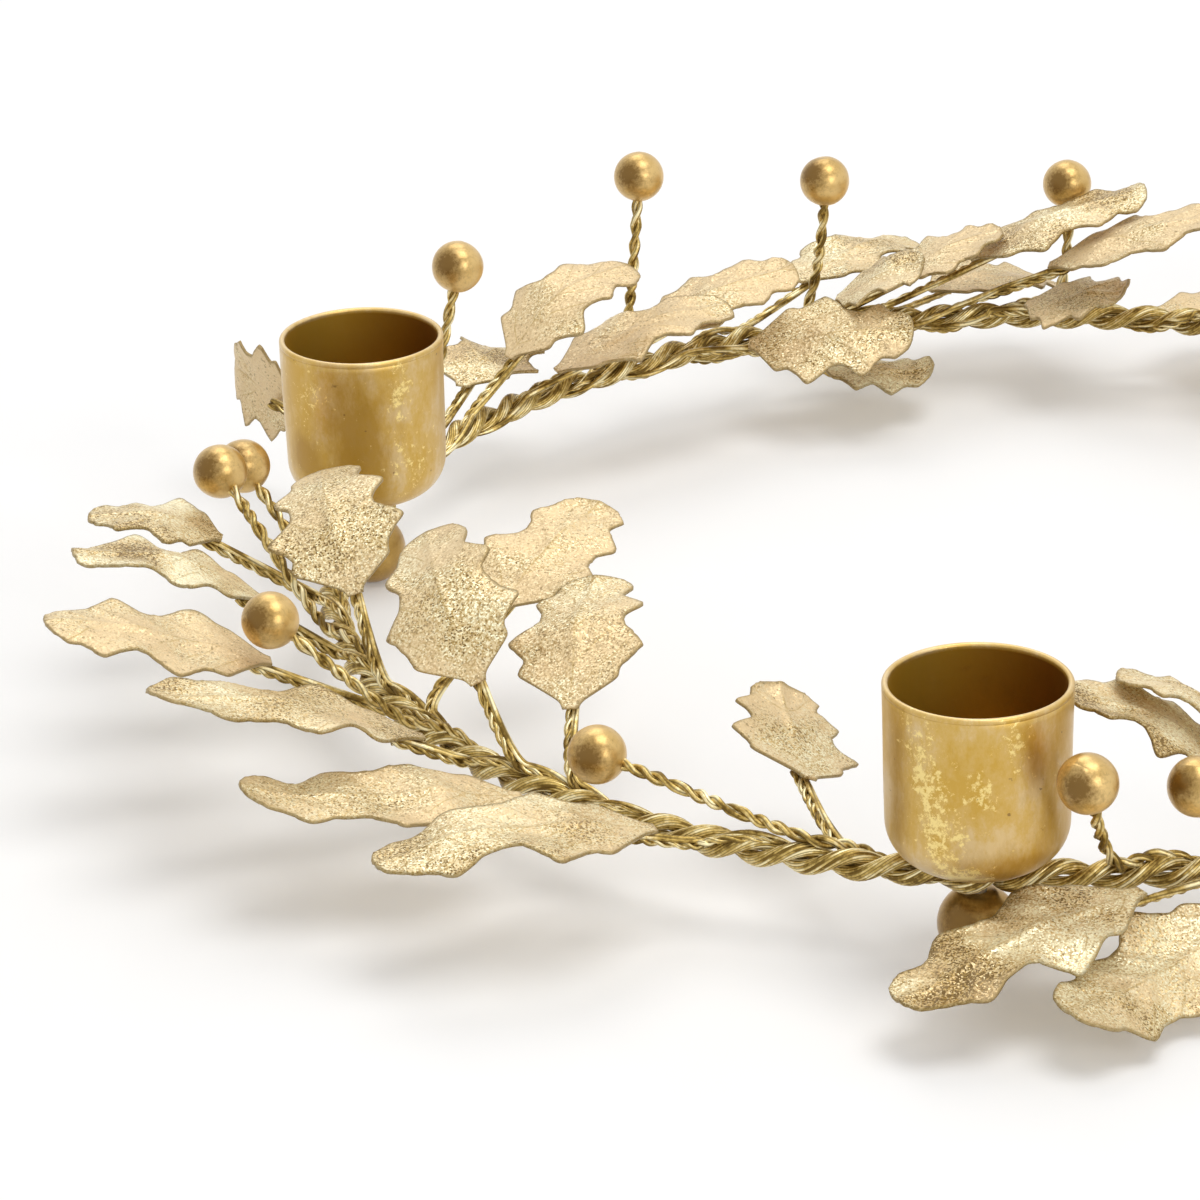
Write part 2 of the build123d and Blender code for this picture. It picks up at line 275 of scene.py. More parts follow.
# How metallic each finish is, and the weight and roughness of its lacquer
LEAF_METAL = 0.4
WIRE_METAL = 0.7
SATIN_METAL = 0.75
SATIN_COAT = (0.25, 0.3)
CUP_METAL = 0.8
CUP_COAT = (0.5, 0.3)
SCREW_METAL = 0.7

# Lamps by name, place, size and power, in metres and watts; the world and the floor by strength
LAMPS = (("overhead", (0.3, -0.15, 1.35), 0.9, 7),
         ("back", (-0.25, 0.75, 1.1), 0.8, 3),
         ("front_fill", (0.9, -1.2, 0.7), 0.7, 5))
WORLD_LIGHT = 0.58
WORLD_SEEN = 1.0
FLOOR_GLOW = 0.15
FLOOR_REACH = 6.0

# Camera, fitted to the cup rims, ball feet and ring in the photograph
CAMERA_PLACE = (4.3, -734.2, 326.2)
CAMERA_YAW = -5.37
CAMERA_PITCH = 23.49
CAMERA_ROLL = -1.7
CAMERA_LENS = 162
SENSOR_WIDTH = 36
CLIP_START = 0.01


# Shapes

def unit(vectors):
    """Rows scaled to length one."""
    return vectors / np.linalg.norm(vectors, axis=-1, keepdims=True)


def smooth_noise(values, scale, seed, waves=6):
    """Gentle one-dimensional noise of about unit size; features are near the given scale."""
    draw = np.random.default_rng(seed)
    total = np.zeros_like(values, dtype=float)
    for _ in range(waves):
        total += np.sin(values * 2 * pi / (scale * draw.uniform(0.6, 1.8)) + draw.uniform(0, 2 * pi))
    return total / sqrt(waves / 2)


def sheet_noise(x, y, scale, seed, waves=8):
    """Gentle two-dimensional noise of about unit size."""
    draw = np.random.default_rng(seed)
    total = np.zeros(np.broadcast(x, y).shape)
    for _ in range(waves):
        angle = draw.uniform(0, pi)
        size = scale * draw.uniform(0.7, 1.7)
        total += np.sin((x * cos(angle) + y * sin(angle)) * 2 * pi / size + draw.uniform(0, 2 * pi))
    return total / sqrt(waves / 2)


def hump(values, centre, width):
    """Smooth bump of height one."""
    return np.exp(-((values - centre) / width) ** 2)


def lay_radius(angles):
    """Distance of a strand beside the rope axis; the twist opens into a flat eye at each cup."""
    bulge = np.zeros_like(angles, dtype=float)
    for place in CUP_ANGLES:
        away = (angles - place + 180) % 360 - 180
        bulge += np.exp(-(RING_RADIUS * np.radians(away) / EYE_LENGTH) ** 2)
    return LAY_RADIUS + (EYE_RADIUS - LAY_RADIUS) * bulge


def rope_point(angles, turn, beside, above):
    """Points at a turn about the rope axis, at given distances beside and above it."""
    out = RING_RADIUS + beside * np.cos(turn)
    around = np.radians(angles)
    up = RING_HEIGHT + above * np.sin(turn) + 0 * around
    return np.stack([out * np.cos(around), out * np.sin(around), up], -1)


def tube_faces(rings, sides, closed=False):
    """Quads round a tube, with end caps unless it closes on itself."""
    faces = []
    for ring in range(rings if closed else rings - 1):
        low = ring * sides
        high = (ring + 1) % rings * sides
        for side in range(sides):
            after = (side + 1) % sides
            faces.append((low + side, low + after, high + after, high + side))
    if not closed:
        faces.append(tuple(range(sides - 1, -1, -1)))
        faces.append(tuple(range((rings - 1) * sides, rings * sides)))
    return faces


class Pile:
    """Collects meshes of one piece, with named values for each vertex."""

    def __init__(self):
        self.points = []
        self.faces = []
        self.values = {}
        self.count = 0

    def add(self, points, faces, **values):
        points = np.asarray(points, dtype=float).reshape(-1, 3)
        self.points.append(points)
        self.faces += [tuple(self.count + corner for corner in face) for face in faces]
        for name, value in values.items():
            self.values.setdefault(name, []).append(np.broadcast_to(value, len(points)).astype(float))
        self.count += len(points)


def piece(name, pile, material, node):
    """Turns a pile into an object that rides on the ring and stands for a node."""
    mesh = bpy.data.meshes.new(name)
    mesh.from_pydata((np.concatenate(pile.points) * MM).tolist(), [], pile.faces)
    mesh.polygons.foreach_set("use_smooth", [True] * len(mesh.polygons))
    for value_name, chunks in pile.values.items():
        attribute = mesh.attributes.new(value_name, "FLOAT", "POINT")
        attribute.data.foreach_set("value", np.concatenate(chunks))
    mesh.materials.append(material)
    mesh.update()
    made = bpy.data.objects.new(name, mesh)
    bpy.context.scene.collection.objects.link(made)
    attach(made, "root")
    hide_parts(node)


def add_wire(pile, centres, across, thick, fibres, lay, seed, closed=False):
    """Tube of fine fibres along a path; each fibre has a tone of its own that drifts along it."""
    ahead = np.roll(centres, -1, 0) - np.roll(centres, 1, 0) if closed else np.gradient(centres, axis=0)
    along = unit(ahead)
    across = unit(across - along * (across * along).sum(1, keepdims=True))
    third = np.cross(along, across)
    run = np.cumsum(np.linalg.norm(np.diff(centres, axis=0, prepend=centres[:1]), axis=1))
    count = fibres * SIDES_PER_FIBRE
    sides = 2 * pi * np.arange(count) / count
    half = pi / fibres
    fibre = FIBRE_BULGE * sin(half) / (1 + sin(half))
    off = (np.arange(count) % SIDES_PER_FIBRE) * 2 * half / SIDES_PER_FIBRE - half
    section = (1 - fibre) * np.cos(off) + np.sqrt(fibre ** 2 - ((1 - fibre) * np.sin(off)) ** 2)
    turns = sides[None] + lay[:, None]
    radius = thick[:, None] * section[None]
    points = (centres[:, None] + (radius * np.cos(turns))[..., None] * across[:, None]
              + (radius * np.sin(turns))[..., None] * third[:, None])
    crest = (section - section.min()) / (section.max() - section.min())
    tones = np.stack([smooth_noise(run, FIBRE_TONE_RUN, seed + 31 * index) for index in range(fibres)], -1)
    tone = 0.5 + FIBRE_TONE * np.repeat(tones, SIDES_PER_FIBRE, axis=1)
    pile.add(points, tube_faces(len(centres), count, closed), fibre=tone.reshape(-1),
             crest=np.broadcast_to(crest, radius.shape).reshape(-1))


def ring_strand(phase, seed):
    """One strand of fine fibres right round the ring."""
    steps = STRAND_STEPS_PER_TURN * RING_TURNS
    angles = CUP_ANGLES[-1] + 360 * np.arange(steps) / steps
    around = np.radians(angles)
    turn = RING_TURNS * around + phase
    looseness = sum(size * np.sin(waves * around + shift * seed) for size, waves, shift in LOOSENESS)
    centres = rope_point(angles, turn, lay_radius(angles) + looseness, LAY_RADIUS + looseness)
    axis = rope_point(angles, turn, 0, 0)
    pile = Pile()
    add_wire(pile, centres, centres - axis, np.full(steps, STRAND_RADIUS), STRAND_FIBRES,
             STRAND_LAY * around, seed, closed=True)
    return pile


def seat(pick):
    """Start, direction, ring side and place of a stem whose end rests on the crown of a strand."""
    heading = radians(pick.heading)
    rise = radians(pick.rise)
    facing = degrees(atan2(sin(rise), cos(rise) * sin(heading)))
    angle = pick.root + ((facing - RING_TURNS * pick.root + 90) % 180 - 90) / RING_TURNS
    outward = np.array([cos(radians(angle)), sin(radians(angle)), 0])
    clockwise = np.array([sin(radians(angle)), -cos(radians(angle)), 0])
    upward = np.array([0, 0, 1.0])
    direction = (clockwise * cos(heading) + outward * sin(heading)) * cos(rise) + upward * sin(rise)
    along = direction @ clockwise
    away = unit(direction - clockwise * along)
    toward = (clockwise * (direction @ away) - away * along) * copysign(1, along)
    ring = outward * RING_RADIUS + upward * RING_HEIGHT
    start = ring + away * (CROWN_RADIUS + SEAT_GAP) - toward * STEM_RADIUS + direction * END_TILT
    return start, direction, angle, facing


def hermite(start, start_pull, end, end_pull, count):
    """Smooth path between two points with given pulls."""
    t = np.linspace(0, 1, count)[:, None]
    return ((2 * t ** 3 - 3 * t ** 2 + 1) * start + (t ** 3 - 2 * t ** 2 + t) * start_pull
            + (3 * t ** 2 - 2 * t ** 3) * end + (t ** 3 - t ** 2) * end_pull)


def resample(path, step):
    """The same path with points at an even step."""
    run = np.concatenate([[0], np.cumsum(np.linalg.norm(np.diff(path, axis=0), axis=1))])
    even = np.linspace(0, run[-1], max(8, int(run[-1] / step)))
    return np.stack([np.interp(even, run, path[:, axis]) for axis in range(3)], -1), even


def carried_frames(path):
    """Directions along and across a path, turned as little as possible."""
    along = unit(np.gradient(path, axis=0))
    across = np.zeros_like(path)
    first = np.cross(along[0], (0.3, 0.5, 0.8))
    across[0] = first / np.linalg.norm(first)
    for row in range(1, len(path)):
        turned = across[row - 1] - along[row] * (across[row - 1] @ along[row])
        across[row] = turned / np.linalg.norm(turned)
    return along, across, np.cross(along, across)


def stem_path(pick, start, direction, angle, facing):
    """Along the outside of the rope, away from it and out to the leaf or berry."""
    end = start + direction * pick.reach
    leave = angle + HALF_TURN / 2
    tail_angles = np.linspace(leave + TAIL_ANGLE, leave, TAIL_POINTS)
    back = (tail_angles - leave) / TAIL_ANGLE
    turn = radians(facing) + TAIL_TURN * back
    sunk = CROWN_RADIUS + TAIL_STAND - TAIL_SINK * back ** 2
    tail = rope_point(tail_angles, turn, sunk, sunk)
    pull = unit(tail[-1] - tail[-2])
    chord = np.linalg.norm(end - tail[-1])
    free = hermite(tail[-1], pull * chord * ROOT_PULL, end, direction * chord * END_PULL, FREE_POINTS)
    return np.concatenate([tail, free[1:]])


def add_twisted_pair(pile, path, radius, lay, pitch, seed):
    """Two wires twisted along a path; they thin out where they sink into the rope."""
    path, run = resample(path, WIRE_STEP)
    _, across, third = carried_frames(path)
    taper = np.clip(run / TAPER_RUN, TAPER_LEAST, 1)
    twist = 2 * pi * run / pitch + TWIST_DRIFT * smooth_noise(run, TWIST_DRIFT_RUN, seed)
    for half in (0, pi):
        swing = (twist + half)[:, None]
        aside = np.cos(swing) * across + np.sin(swing) * third
        thick = radius * taper * (1 + UNEVEN_THICKNESS * smooth_noise(run, UNEVEN_RUN, seed + 7))
        centres = path + lay * taper[:, None] * aside
        add_wire(pile, centres, across, thick, WIRE_FIBRES, PAIR_FIBRE_LAY * run, seed + 200)


def add_leaf_stem(pile, path, seed):
    """A straight wire on the right of a leaf's stem, with a finer pair twisted along its left."""
    path, run = resample(path, WIRE_STEP)
    along, across, _ = carried_frames(path)
    aside = np.array(STRAIGHT_SIDE)
    right = unit(aside - along * (along @ aside)[:, None] + 0.25 * across)
    taper = np.clip(run / TAPER_RUN, TAPER_LEAST, 1)
    add_wire(pile, path + STRAIGHT_OFFSET * taper[:, None] * right, right, STRAIGHT_RADIUS * taper,
             WIRE_FIBRES, STRAIGHT_FIBRE_LAY * run, seed + 300)
    add_twisted_pair(pile, path - THREAD_OFFSET * taper[:, None] * right, THREAD_RADIUS, THREAD_LAY,
                     THREAD_PITCH, seed)


def bernstein(weights, t):
    """Curve through control heights, as in the solid leaf."""
    last = len(weights) - 1
    return sum(comb(last, k) * t ** k * (1 - t) ** (last - k) * weight for k, weight in enumerate(weights))


def margin(points, along, seed):
    """Half width along the leaf with softened teeth and a ragged edge."""
    shares = np.array(points)
    fine = np.linspace(0, 1, MARGIN_POINTS)
    width = np.interp(fine, shares[:, 0], shares[:, 1])
    kernel = np.exp(-np.linspace(-2, 2, MARGIN_BLUR) ** 2)
    padded = np.pad(width, MARGIN_BLUR // 2, mode="edge")
    width = np.convolve(padded, kernel / kernel.sum(), mode="valid")
    (large, long), (small, short) = EDGE_RAGGED
    ragged = large * smooth_noise(fine, long, seed) + small * smooth_noise(fine, short, seed + 9)
    width = width * (1 + ragged * np.clip(fine * 6 - 0.6, 0, 1))
    return np.interp(along, fine, width)


def add_leaf(pile, pick, base, direction, level, seed):
    """Thin lobed sheet: bends, ripples, midrib, side veins and crumples."""
    sideways = np.cross(level, direction)
    half = LEAF_WIDTH / 2
    along = np.linspace(0, 1, LEAF_ROWS)
    shares = np.linspace(-1, 1, 2 * LEAF_COLUMNS + 1)
    one = margin(MARGIN_ONE, along, seed)
    two = margin(MARGIN_TWO, along, seed + 1)
    width = np.where(shares[None] < 0, one[:, None], two[:, None])
    y = shares[None] * width * half
    near_tip = np.clip((along[:, None] - 0.8) * 5, 0, 1)
    x = along[:, None] * pick.length - LEAF_TIP_ROUND * pick.length * np.abs(shares[None]) ** 2 * near_tip
    heights = (0, 0, 0, 0.1 * pick.curl + pick.wave, 0.4 * pick.curl - pick.wave, pick.curl)
    last = len(heights) - 1
    low_edge = []
    high_edge = []
    for row, height in enumerate(heights):
        droop = LEAF_CAMBER * row / last if row > 1 else 0
        ripple = copysign(LEAF_RIPPLE, (-1) ** row) if row > 1 else 0
        low_edge.append(height - droop + ripple)
        high_edge.append(height - droop - ripple)
    t = np.clip((x + 1) / (pick.length + 2), 0, 1)
    s = (y / (half + 1) + 1) / 2
    z = (bernstein(low_edge, t) * (1 - s) ** 2 + bernstein(heights, t) * 2 * s * (1 - s)
         + bernstein(high_edge, t) * s ** 2)
    free = np.clip((x - LEAF_LAP - 1) / LEAF_FREE_RUN, 0, 1)
    rib = MIDRIB_HEIGHT * hump(y, 0, MIDRIB_WIDTH) * (1 - 0.5 * t)
    fan = np.abs(y) * VEIN_SLANT - x
    veins = VEIN_HEIGHT * hump(fan % VEIN_SPACING, VEIN_SPACING / 2, VEIN_WIDTH)
    veins = veins * np.clip(np.abs(y) / 1.5, 0, 1)
    (large, wide), (small, narrow) = CRUMPLES
    crumple = large * sheet_noise(x, y, wide, seed + 2) + small * sheet_noise(x, y, narrow, seed + 3)
    rim = np.abs(shares[None]) ** 3 * width
    curl_edge = EDGE_CURL[0] * rim * smooth_noise(x, EDGE_CURL[1], seed + 4)
    z = z + free * (rib + veins + crumple + curl_edge)
    middle = (base + x[..., None] * direction + y[..., None] * sideways
              + (z + LEAF_SHEET / 2)[..., None] * level)
    normal = unit(np.cross(np.gradient(middle, axis=0), np.gradient(middle, axis=1)))
    rows, columns = y.shape
    top = middle + normal * LEAF_SHEET / 2
    under = middle - normal * LEAF_SHEET / 2
    count = rows * columns
    faces = []
    for row in range(rows - 1):
        for column in range(columns - 1):
            a = row * columns + column
            faces.append((a, a + columns, a + columns + 1, a + 1))
            faces.append((count + a, count + a + 1, count + a + columns + 1, count + a + columns))
    border = [row * columns for row in range(rows)]
    border += [(rows - 1) * columns + column for column in range(1, columns)]
    border += [row * columns + columns - 1 for row in range(rows - 2, -1, -1)]
    border += [column for column in range(columns - 2, 0, -1)]
    for here, there in zip(border, border[1:] + border[:1]):
        faces.append((here, count + here, count + there, there))
    inset = np.minimum((1 - np.abs(shares[None])) * width * half, (1 - along[:, None]) * pick.length)
    edge = hump(inset, 0, EDGE_BAND)
    tone = np.random.default_rng(seed + TONE_SEED).uniform(0, 1)
    pile.add(np.concatenate([top.reshape(-1, 3), under.reshape(-1, 3)]), faces, tone=tone,
             edge=np.tile(edge.reshape(-1), 2), leaf_x=np.tile(x.reshape(-1), 2),
             leaf_y=np.tile(y.reshape(-1), 2))


def add_lathe(pile, profile, centre, sides, dents, **values):
    """A dented profile of radius and height turned about the vertical through a centre."""
    turns = 2 * pi * np.arange(sides) / sides
    profile = np.array(profile)
    radius = profile[:, :1] * np.ones(sides)[None]
    height = profile[:, 1:] * np.ones(sides)[None]
    radius = radius * (1 + dents(turns[None] + 0 * radius, height))
    points = np.stack([centre[0] + radius * np.cos(turns), centre[1] + radius * np.sin(turns),
                       centre[2] + height], -1)
    flat = {name: value.reshape(-1) for name, value in values.items()}
    pile.add(points, tube_faces(len(profile), sides), **flat)


def arc(centre, radius, start, end, count):
    """Points of a profile on an arc, angles in degrees."""
    turns = np.radians(np.linspace(start, end, count))
    return [(centre[0] + radius * cos(turn), centre[1] + radius * sin(turn)) for turn in turns]


def patch(aside, share, spot):
    """Soft patch on a cup; a spot is its place aside and up, lean, widths aside and up, and strength."""
    where, height, lean, wide, tall, strength = spot
    away = (aside - where - lean * (share - height) + 180) % 360 - 180
    return strength * hump(away, 0, wide) * hump(share, height, tall)


def candle_cup(place, seed, look):
    """Cup with a beaded lip, a rounded base, slight dents, and values for thick gilding with a painted
    sheen, worn brown with painted dark reflections, a painted lip highlight, painted groove shade and
    painted shade inside.
    """
    top = CUP_BORE_RADIUS + CUP_WALL
    base = top - CUP_TAPER
    shoulder = CUP_HEIGHT - CUP_WALL / 2
    inside = CUP_ROUND - CUP_WALL
    outer = [(SCREW_HOLE_RADIUS, 0), (base - CUP_ROUND - 1, 0)]
    outer += arc((base - CUP_ROUND, CUP_ROUND), CUP_ROUND, -90, 0, 18)
    rises = np.linspace(CUP_ROUND, shoulder - CUP_BEAD, 24)[1:]
    outer += [(base + (top - base) * (rise - CUP_ROUND) / (shoulder - CUP_ROUND), rise) for rise in rises]
    outer += [(top - BEAD_GROOVE, shoulder - CUP_BEAD + BEAD_GROOVE),
              (top, shoulder - CUP_BEAD + BEAD_GROOVE_WIDTH)]
    lip = arc((top - CUP_WALL / 2, shoulder), CUP_WALL / 2, 0, 180, 11)
    inner = [(CUP_BORE_RADIUS, rise) for rise in np.linspace(shoulder - CUP_WALL / 2, CUP_ROUND, 14)[:-1]]
    inner += arc((CUP_BORE_RADIUS - inside, CUP_ROUND), inside, 0, -90, 10)
    inner += [(SCREW_HOLE_RADIUS, CUP_WALL)]
    profile = outer + lip + inner
    rows = np.arange(len(profile))[:, None] + np.zeros(CUP_SIDES)[None]
    hollow = (rows >= len(outer) + len(lip)).astype(float)
    # Painted highlight along the lip.
    rim = np.sin(pi * np.clip((rows - len(outer)) / (len(lip) - 1), 0, 1)) ** 3
    # Painted shade in the groove under the bead.
    painted_groove_shade = (rows == len(outer) - 2).astype(float)
    turns = np.degrees(2 * pi * np.arange(CUP_SIDES) / CUP_SIDES)[None] + 0 * rows
    aside = (turns - CUP_FRONT + 180) % 360 - 180
    share = np.array(profile)[:, 1:] / CUP_HEIGHT + 0 * rows
    # Thick gilding is partly real and partly a painted sheen; worn brown is partly real wear and partly
    # painted dark reflections.
    gilded = sum(patch(aside, share, spot) for spot in GILDED_AND_PAINTED_SHEEN_SPOTS[look])
    worn = sum(patch(aside, share, spot) for spot in WORN_AND_PAINTED_REFLECTION_SPOTS[look])
    # Inside the cup this value is painted shade that darkens towards +x; outside it is wear with painted
    # dark reflections.
    worn = np.where(hollow > 0, 0.5 + 0.5 * np.cos(np.radians(turns)), np.maximum(worn, 0.7 * painted_groove_shade))

    def dents(angles, heights):
        across = np.sin(angles) * CUP_DENT_REACH
        along = heights + CUP_DENT_REACH * np.cos(angles)
        return CUP_DENT * sheet_noise(across, along, CUP_DENT_SIZE, seed)

    pile = Pile()
    ground = rope_point(np.array([place]), 0, 0, 0)[0]
    add_lathe(pile, profile, (ground[0], ground[1], CUP_BASE), CUP_SIDES, dents,
              hollow=hollow, rim=rim, gilded=gilded, worn=worn)
    return pile


def ball(pile, centre, radius, upward, seed, flat=1.0):
    """Slightly uneven ball with a painted dark reflection on one side, cut off at a share of its radius in
    one direction.
    """
    upward = np.asarray(upward, dtype=float)
    across = unit(np.cross(upward, (0.36, 0.48, 0.8)))
    third = np.cross(upward, across)
    turns = 2 * pi * np.arange(BALL_SIDES) / BALL_SIDES
    tilts = np.linspace(0.02, pi - np.arccos(flat) - 0.02 * (flat == 1.0), BALL_RINGS)
    unevenness = 1 + BALL_UNEVENNESS * sheet_noise(tilts[:, None] * 3, turns[None] * 2, 4, seed)
    shell = radius * np.minimum(unevenness, BALL_OVERSIZE)
    normal = ((np.sin(tilts)[:, None] * np.cos(turns)[None])[..., None] * across
              + (np.sin(tilts)[:, None] * np.sin(turns)[None])[..., None] * third
              - (np.cos(tilts)[:, None] * np.ones(BALL_SIDES)[None])[..., None] * upward)
    # Painted dark reflection on the side that faces the given direction, a little astray on each ball.
    stray = np.random.default_rng(seed).normal(0, PAINTED_REFLECTION_SPREAD, 3)
    away = np.arccos(np.clip(normal @ unit(np.array(PAINTED_REFLECTION_SIDE) + stray), -1, 1))
    faces = [face[::-1] for face in tube_faces(BALL_RINGS, BALL_SIDES)]
    pile.add(centre + shell[..., None] * normal, faces, worn=hump(away, 0, PAINTED_REFLECTION_WIDTH).reshape(-1))


# Materials

class Nodes:
    """Short names for building a node tree."""

    def __init__(self, name):
        self.material = bpy.data.materials.new(name)
        self.material.use_nodes = True
        self.tree = self.material.node_tree
        self.shader = self.tree.nodes["Principled BSDF"]
        coordinates = self.tree.nodes.new("ShaderNodeTexCoord")
        self.place = coordinates.outputs["Object"]

    def link(self, source, target):
        self.tree.links.new(source, target)

    def set(self, target, value):
        if isinstance(value, bpy.types.NodeSocket):
            self.link(value, target)
        else:
            target.default_value = value

    def noise(self, scale, detail=3.0, roughness=0.55, place=None):
        made = self.tree.nodes.new("ShaderNodeTexNoise")
        made.inputs["Scale"].default_value = scale
        made.inputs["Detail"].default_value = detail
        made.inputs["Roughness"].default_value = roughness
        self.link(place or self.place, made.inputs["Vector"])
        return made.outputs["Fac"]

    def cells(self, scale):
        made = self.tree.nodes.new("ShaderNodeTexVoronoi")
        made.inputs["Scale"].default_value = scale
        self.link(self.place, made.inputs["Vector"])
        return made.outputs["Color"]

    def stretched(self, scale):
        made = self.tree.nodes.new("ShaderNodeMapping")
        made.inputs["Scale"].default_value = scale
        self.link(self.place, made.inputs["Vector"])
        return made.outputs["Vector"]

    def attribute(self, name):
        made = self.tree.nodes.new("ShaderNodeAttribute")
        made.attribute_name = name
        return made.outputs["Fac"]

    def ramp(self, source, *stops):
        made = self.tree.nodes.new("ShaderNodeValToRGB")
        elements = made.color_ramp.elements
        while len(elements) < len(stops):
            elements.new(0.5)
        for element, (position, colour) in zip(elements, stops):
            element.position = position
            element.color = (*colour, 1) if isinstance(colour, tuple) else (colour, colour, colour, 1)
        self.link(source, made.inputs["Fac"])
        return made.outputs["Color"]

    def mix(self, share, first, second):
        made = self.tree.nodes.new("ShaderNodeMix")
        made.data_type = "RGBA"
        for socket, value in (("Factor_Float", share), ("A_Color", first), ("B_Color", second)):
            target = next(item for item in made.inputs if item.identifier == socket)
            self.set(target, (*value, 1) if isinstance(value, tuple) else value)
        return next(item for item in made.outputs if item.identifier == "Result_Color")

    def math(self, operation, first, second=0.0):
        made = self.tree.nodes.new("ShaderNodeMath")
        made.operation = operation
        self.set(made.inputs[0], first)
        self.set(made.inputs[1], second)
        return made.outputs[0]

    def channel(self, colour, which):
        made = self.tree.nodes.new("ShaderNodeSeparateColor")
        self.link(colour, made.inputs[0])
        return made.outputs[which]

    def bump(self, height, strength, distance):
        made = self.tree.nodes.new("ShaderNodeBump")
        made.inputs["Strength"].default_value = strength
        made.inputs["Distance"].default_value = distance
        self.link(height, made.inputs["Height"])
        return made.outputs["Normal"]

    def flaked_normal(self, cells, tilt):
        """Surface normal tipped a different way on each flake."""
        geometry = self.tree.nodes.new("ShaderNodeNewGeometry")
        centred = self.tree.nodes.new("ShaderNodeVectorMath")
        centred.operation = "SUBTRACT"
        self.link(cells, centred.inputs[0])
        centred.inputs[1].default_value = (0.5, 0.5, 0.5)
        scaled = self.tree.nodes.new("ShaderNodeVectorMath")
        scaled.operation = "SCALE"
        self.link(centred.outputs[0], scaled.inputs[0])
        scaled.inputs["Scale"].default_value = tilt
        summed = self.tree.nodes.new("ShaderNodeVectorMath")
        summed.operation = "ADD"
        self.link(geometry.outputs["Normal"], summed.inputs[0])
        self.link(scaled.outputs[0], summed.inputs[1])
        even = self.tree.nodes.new("ShaderNodeVectorMath")
        even.operation = "NORMALIZE"
        self.link(summed.outputs[0], even.inputs[0])
        return even.outputs[0]

    def coat(self, weight, roughness):
        self.shader.inputs["Coat Weight"].default_value = weight
        self.shader.inputs["Coat Roughness"].default_value = roughness

    def finish(self, colour, roughness, metallic, normal=None):
        self.set(self.shader.inputs["Base Color"], colour)
        self.set(self.shader.inputs["Roughness"], roughness)
        self.set(self.shader.inputs["Metallic"], metallic)
        if normal is not None:
            self.link(normal, self.shader.inputs["Normal"])
        return self.material


def leaf_glitter():
    """Peach paint under flakes of glitter that lie in clumps, the palest flakes painted glints, with painted
    shade in broken creases along the veins.
    """
    n = Nodes("leaf_glitter")
    flakes = n.cells(FLAKES)
    cloud = n.noise(95, 3)
    tone = n.attribute("tone")
    clumps = n.ramp(n.noise(CLUMPS, 2), (0.36, 0.0), (0.64, 1.0))
    strength = n.math("MULTIPLY", n.math("MULTIPLY", tone, tone), CLUMP_STRENGTH)
    lift = n.math("MULTIPLY", n.math("SUBTRACT", clumps, 0.5), strength)
    # Flake colours, the palest of them painted glints.
    glitter = n.ramp(n.math("ADD", n.channel(flakes, 0), lift), *GLITTER_AND_PAINTED_GLINT_TONES)
    dense = n.math("ADD", cloud, n.math("MULTIPLY", tone, 0.3))
    colour = n.mix(n.ramp(dense, (0.52, 0.18), (0.74, 1.0)), PEACH, glitter)
    speck = n.ramp(n.channel(n.cells(SPECKS), 1), (0.03, 0.55), (0.05, 0.0))
    colour = n.mix(speck, colour, BROWN)
    off_rib = n.math("ABSOLUTE", n.attribute("leaf_y"))
    fan = n.math("SUBTRACT", n.math("MULTIPLY", off_rib, VEIN_SLANT), n.attribute("leaf_x"))
    wander = n.math("MULTIPLY", n.noise(120, 2), 4.0)
    off_vein = n.math("PINGPONG", n.math("ADD", fan, wander), VEIN_SPACING / 2)
    # Painted shade in broken creases along the midrib and the vein lines.
    crease_shade = n.ramp(n.math("MINIMUM", off_rib, off_vein), (0.06, 0.6), (0.22, 0.0))
    broken = n.ramp(n.noise(170, 2), (0.44, 0.0), (0.6, 1.0))
    colour = n.mix(n.math("MULTIPLY", crease_shade, broken), colour, GOLD)
    colour = n.mix(n.math("MULTIPLY", n.attribute("edge"), 0.7), colour, LEAF_EDGE)
    roughness = n.ramp(n.channel(flakes, 1), (0.0, 0.28), (1.0, 0.6))
    return n.finish(colour, roughness, LEAF_METAL, n.flaked_normal(flakes, FLAKE_TILT))


def gilt_wire(name):
    """Fine gilt fibres, each of its own tone with the palest a painted highlight, and painted shade in the
    grooves between them.
    """
    n = Nodes(name)
    grain = n.noise(WIRE_GRAIN, 3)
    shade = n.math("ADD", n.attribute("fibre"), n.math("MULTIPLY", n.math("SUBTRACT", grain, 0.5), 1.3))
    # Random fibre tones; the palest is a painted highlight.
    colour = n.ramp(shade, *WIRE_TONES_WITH_PAINTED_HIGHLIGHT)
    # Painted shade in the grooves between fibres.
    painted_groove_shade = n.ramp(n.attribute("crest"), (0.0, 0.9), (0.7, 0.0))
    colour = n.mix(painted_groove_shade, colour, WIRE_GROOVE_SHADE)
    roughness = n.ramp(grain, (0.35, 0.3), (0.65, 0.48))
    return n.finish(colour, roughness, WIRE_METAL, n.bump(grain, 0.25, 0.0002))


